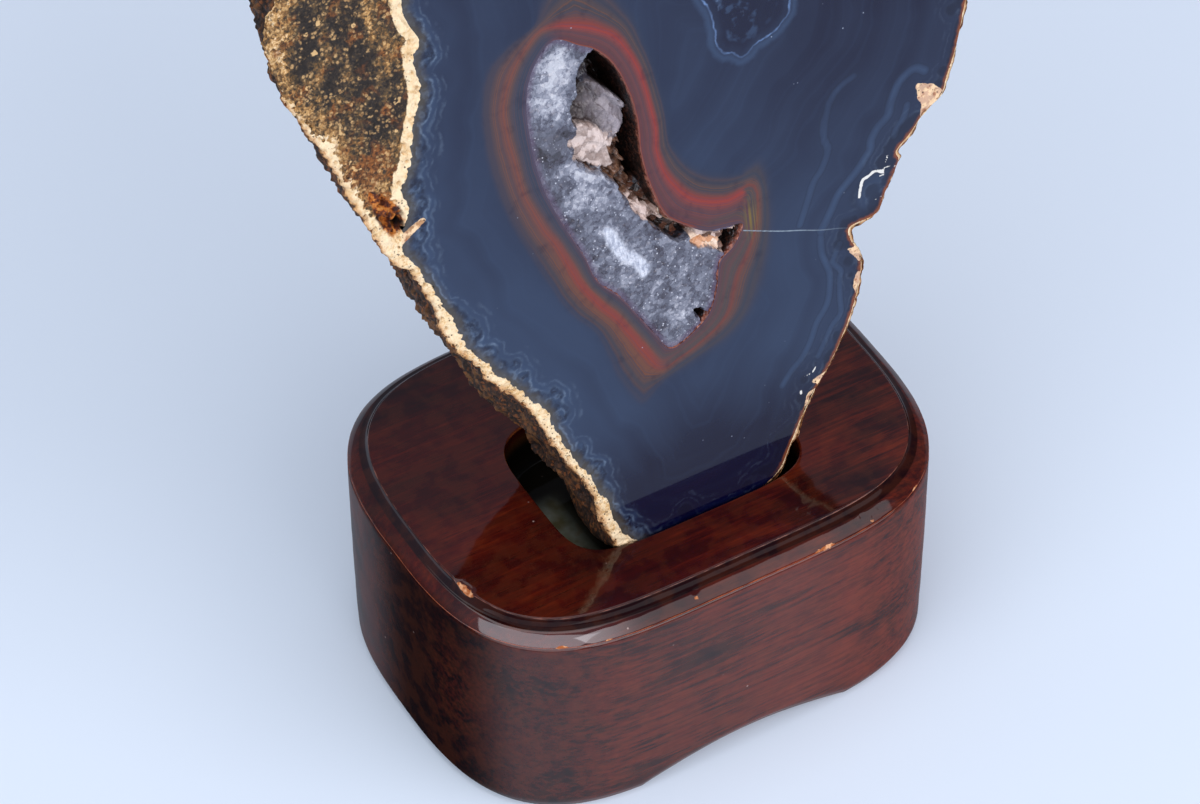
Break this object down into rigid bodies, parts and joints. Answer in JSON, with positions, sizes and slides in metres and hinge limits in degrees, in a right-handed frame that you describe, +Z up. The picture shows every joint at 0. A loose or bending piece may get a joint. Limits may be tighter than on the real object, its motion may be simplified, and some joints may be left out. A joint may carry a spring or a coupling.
{
  "type": "polished agate slice on a wood stand",
  "caption": "Thick polished slice of a banded agate nodule with a quartz-lined hollow, leaning back in the recess of a moulded lacquered wood stand.",
  "frame": {"origin": "middle of the stand's underside, on the surface it stands on", "axes": "+Z up, +X along the stand's long side to the viewer's right, +Y from the polished face towards the back"},
  "size_m": [0.1146, 0.0664, 0.1662],
  "materials": {
    "wood_stand": "dark red-brown wood under gloss lacquer",
    "agate_slice": "mirror-polished blue-grey agate face, rough brown skin",
    "quartz_crust": "sparkling quartz crystals"
  },
  "bodies": {
    "root": {"wood_stand": "wood_stand", "agate_slice": "agate_slice", "quartz_crust": "quartz_crust"}
  },
  "joints": []
}
